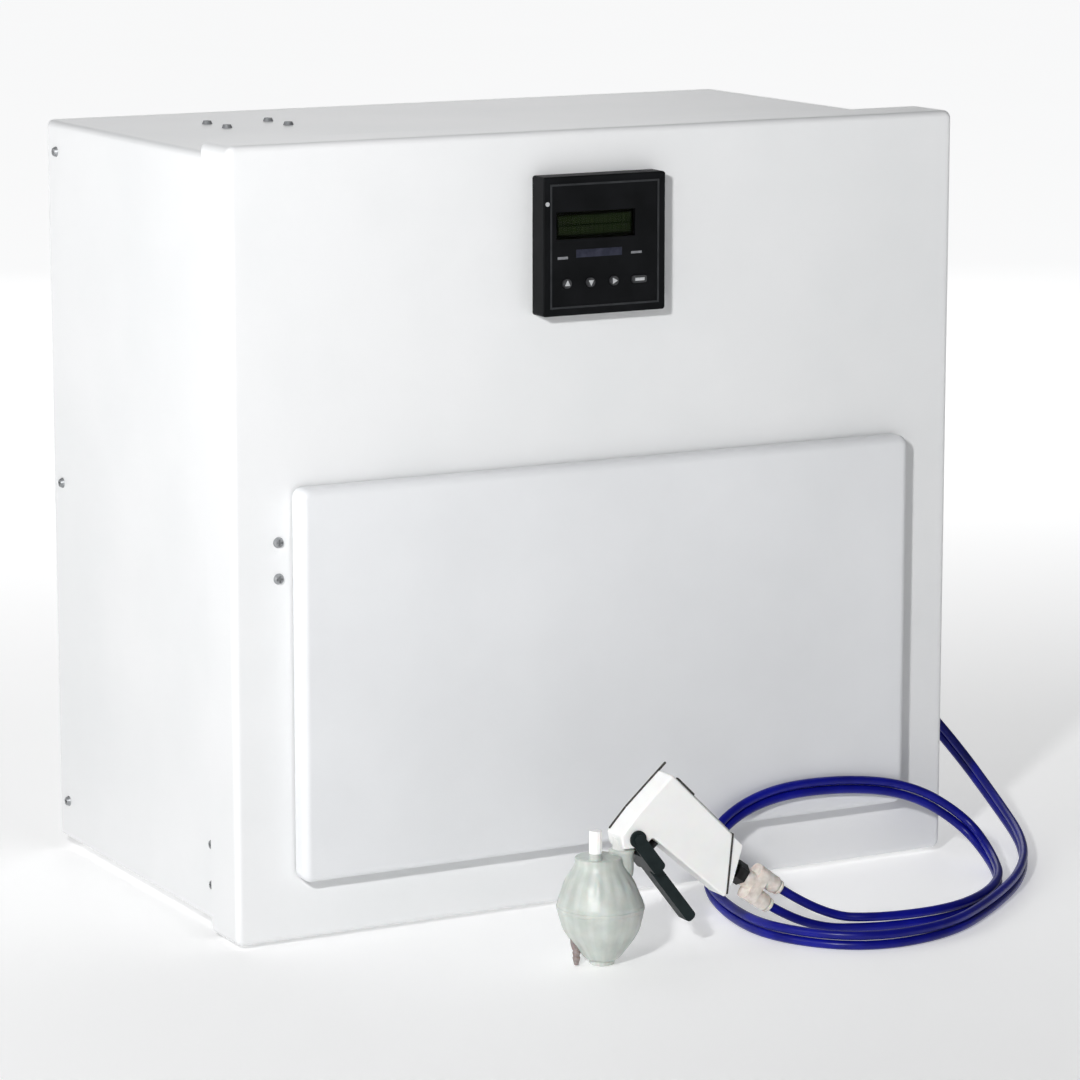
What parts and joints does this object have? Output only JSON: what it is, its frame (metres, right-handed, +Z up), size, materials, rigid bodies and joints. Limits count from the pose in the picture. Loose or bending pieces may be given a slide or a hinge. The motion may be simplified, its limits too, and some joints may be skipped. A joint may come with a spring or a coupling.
{
  "type": "water purification cabinet",
  "caption": "White laboratory water polishing cabinet with a lift-off front door, a panel meter, and a hand-held dispensing gun with a filter capsule on two blue tubes.",
  "frame": {"origin": "on the bench, under the middle of the cabinet, its side fittings and the gun together", "axes": "+X to the cabinet's right seen from the front, +Y to the back, +Z up"},
  "size_m": [0.6516, 0.5347, 0.549],
  "materials": {
    "cabinet_white": "fine powder coat, satin",
    "door_white": "fine powder coat, satin",
    "zinc_sheet": "zinc-plated",
    "steel_dark": "satin",
    "stainless": "brushed",
    "rubber_black": "matte",
    "foam_black": "matte foam",
    "meter_black": "fine texture",
    "meter_case_black": "matte",
    "window_smoke": "clear",
    "display_green": "glossy",
    "board_green": "matte",
    "key_grey": "satin",
    "cartridge_white": "satin",
    "head_blue": "satin",
    "pump_black": "satin",
    "pump_head_grey": "matte",
    "brass_nickel": "nickel-plated",
    "coil_black": "matte",
    "fitting_natural": "satin",
    "fitting_white": "satin",
    "pipe_natural": "satin",
    "inlet_black": "matte",
    "gun_white": "satin",
    "lever_black": "satin",
    "nut_black": "satin",
    "spring_steel": "bright",
    "capsule_frosted": "frosted",
    "filter_white": "pleated",
    "tube_blue": "satin"
  },
  "bodies": {
    "cabinet": {"cabinet_wrap": "cabinet_white", "base_tray": "cabinet_white", "back_panel": "cabinet_white", "front_panel": "cabinet_white", "panel_seal": "foam_black", "rubber_feet": "rubber_black", "case_screws": "steel_dark", "bracket_screws": "steel_dark", "equipment_shelf": "zinc_sheet", "magnet_catch": "coil_black", "catch_screws": "steel_dark", "meter_bezel": "meter_black", "meter_window": "window_smoke", "meter_display": "display_green", "meter_case": "meter_case_black", "meter_board": "board_green", "meter_clamps": "zinc_sheet", "meter_latch_screw": "key_grey", "cartridge_head": "head_blue", "pump_head": "pump_head_grey", "pump_motor": "pump_black", "power_supply": "zinc_sheet", "uv_housing": "stainless", "solenoid_valve": "coil_black", "resistivity_cell": "fitting_white", "outlet_fittings": "fitting_white", "service_fittings": "fitting_white", "inner_pipes": "pipe_natural", "power_inlet": "inlet_black", "switch_frame": "inlet_black", "gun_shell_left": "gun_white", "gun_shell_right": "gun_white", "gun_valve_block": "fitting_white", "gun_valve_spring": "spring_steel", "gun_lever_pin": "steel_dark", "gun_tail_cap": "gun_white", "gun_tail_nut": "nut_black", "gun_wye": "fitting_natural", "capsule_shell": "capsule_frosted", "capsule_filter": "filter_white", "product_tube": "tube_blue", "return_tube": "tube_blue"},
    "door": {"door": "door_white", "door_hooks": "zinc_sheet", "strike_plate": "zinc_sheet"},
    "key_up": {"key_up": "key_grey"},
    "key_down": {"key_down": "key_grey"},
    "key_right": {"key_right": "key_grey"},
    "key_enter": {"key_enter": "key_grey"},
    "rocker": {"rocker_switch": "inlet_black"},
    "cartridge_1": {"cartridge_1": "cartridge_white"},
    "cartridge_2": {"cartridge_2": "cartridge_white"},
    "cartridge_3": {"cartridge_3": "cartridge_white"},
    "cartridge_4": {"cartridge_4": "cartridge_white"},
    "rotor": {"pump_rotor": "stainless"},
    "lever": {"gun_lever": "lever_black"},
    "stem": {"gun_valve_stem": "nut_black"},
    "vent_knob": {"capsule_vent": "gun_white"}
  },
  "joints": [
    {"name": "door_lift", "type": "slide", "parent": "cabinet", "child": "door", "axis": [0, 0, 1], "range_m": [0, 0.013]},
    {"name": "key_up_press", "type": "slide", "parent": "cabinet", "child": "key_up", "axis": [0, 1, 0], "range_m": [0, 0.0012], "stiffness_N_per_m": 500, "springref_m": -0.0008},
    {"name": "key_down_press", "type": "slide", "parent": "cabinet", "child": "key_down", "axis": [0, 1, 0], "range_m": [0, 0.0012], "stiffness_N_per_m": 500, "springref_m": -0.0008},
    {"name": "key_right_press", "type": "slide", "parent": "cabinet", "child": "key_right", "axis": [0, 1, 0], "range_m": [0, 0.0012], "stiffness_N_per_m": 500, "springref_m": -0.0008},
    {"name": "key_enter_press", "type": "slide", "parent": "cabinet", "child": "key_enter", "axis": [0, 1, 0], "range_m": [0, 0.0012], "stiffness_N_per_m": 500, "springref_m": -0.0008},
    {"name": "rocker_tip", "type": "hinge", "parent": "cabinet", "child": "rocker", "pos_m": [0.157, 0.24465, 0.07], "axis": [-1, 0, 0], "range_deg": [0, 14]},
    {"name": "cartridge_1_twist", "type": "hinge", "parent": "cabinet", "child": "cartridge_1", "pos_m": [-0.173, -0.00385, 0.29], "axis": [0, 0, 1], "range_deg": [0, 60]},
    {"name": "cartridge_2_twist", "type": "hinge", "parent": "cabinet", "child": "cartridge_2", "pos_m": [-0.063, -0.00385, 0.29], "axis": [0, 0, 1], "range_deg": [0, 60]},
    {"name": "cartridge_3_twist", "type": "hinge", "parent": "cabinet", "child": "cartridge_3", "pos_m": [0.047, -0.00385, 0.29], "axis": [0, 0, 1], "range_deg": [0, 60]},
    {"name": "cartridge_4_twist", "type": "hinge", "parent": "cabinet", "child": "cartridge_4", "pos_m": [0.157, -0.00385, 0.29], "axis": [0, 0, 1], "range_deg": [0, 60]},
    {"name": "pump_spin", "type": "hinge", "parent": "cabinet", "child": "rotor", "pos_m": [0.142, 0.04115, 0.374], "axis": [1, 0, 0], "continuous": true},
    {"name": "lever_squeeze", "type": "hinge", "parent": "cabinet", "child": "lever", "pos_m": [-0.0675, -0.21985, 0.086], "axis": [0, -1, 0], "range_deg": [0, 14], "stiffness_Nm_per_rad": 2, "springref_deg": -11.46},
    {"name": "stem_slide", "type": "slide", "parent": "cabinet", "child": "stem", "axis": [0.7254, 0, 0.6884], "range_m": [0, 0.0044], "deforming": ["gun_valve_spring"]},
    {"name": "vent_turn", "type": "hinge", "parent": "cabinet", "child": "vent_knob", "pos_m": [-0.098, -0.22685, 0.08], "axis": [0, 0, 1], "range_deg": [0, 180]}
  ],
  "couplings": [
    {"joint": "stem_slide", "follows": "lever_squeeze", "m_per_rad": 0.018}
  ]
}
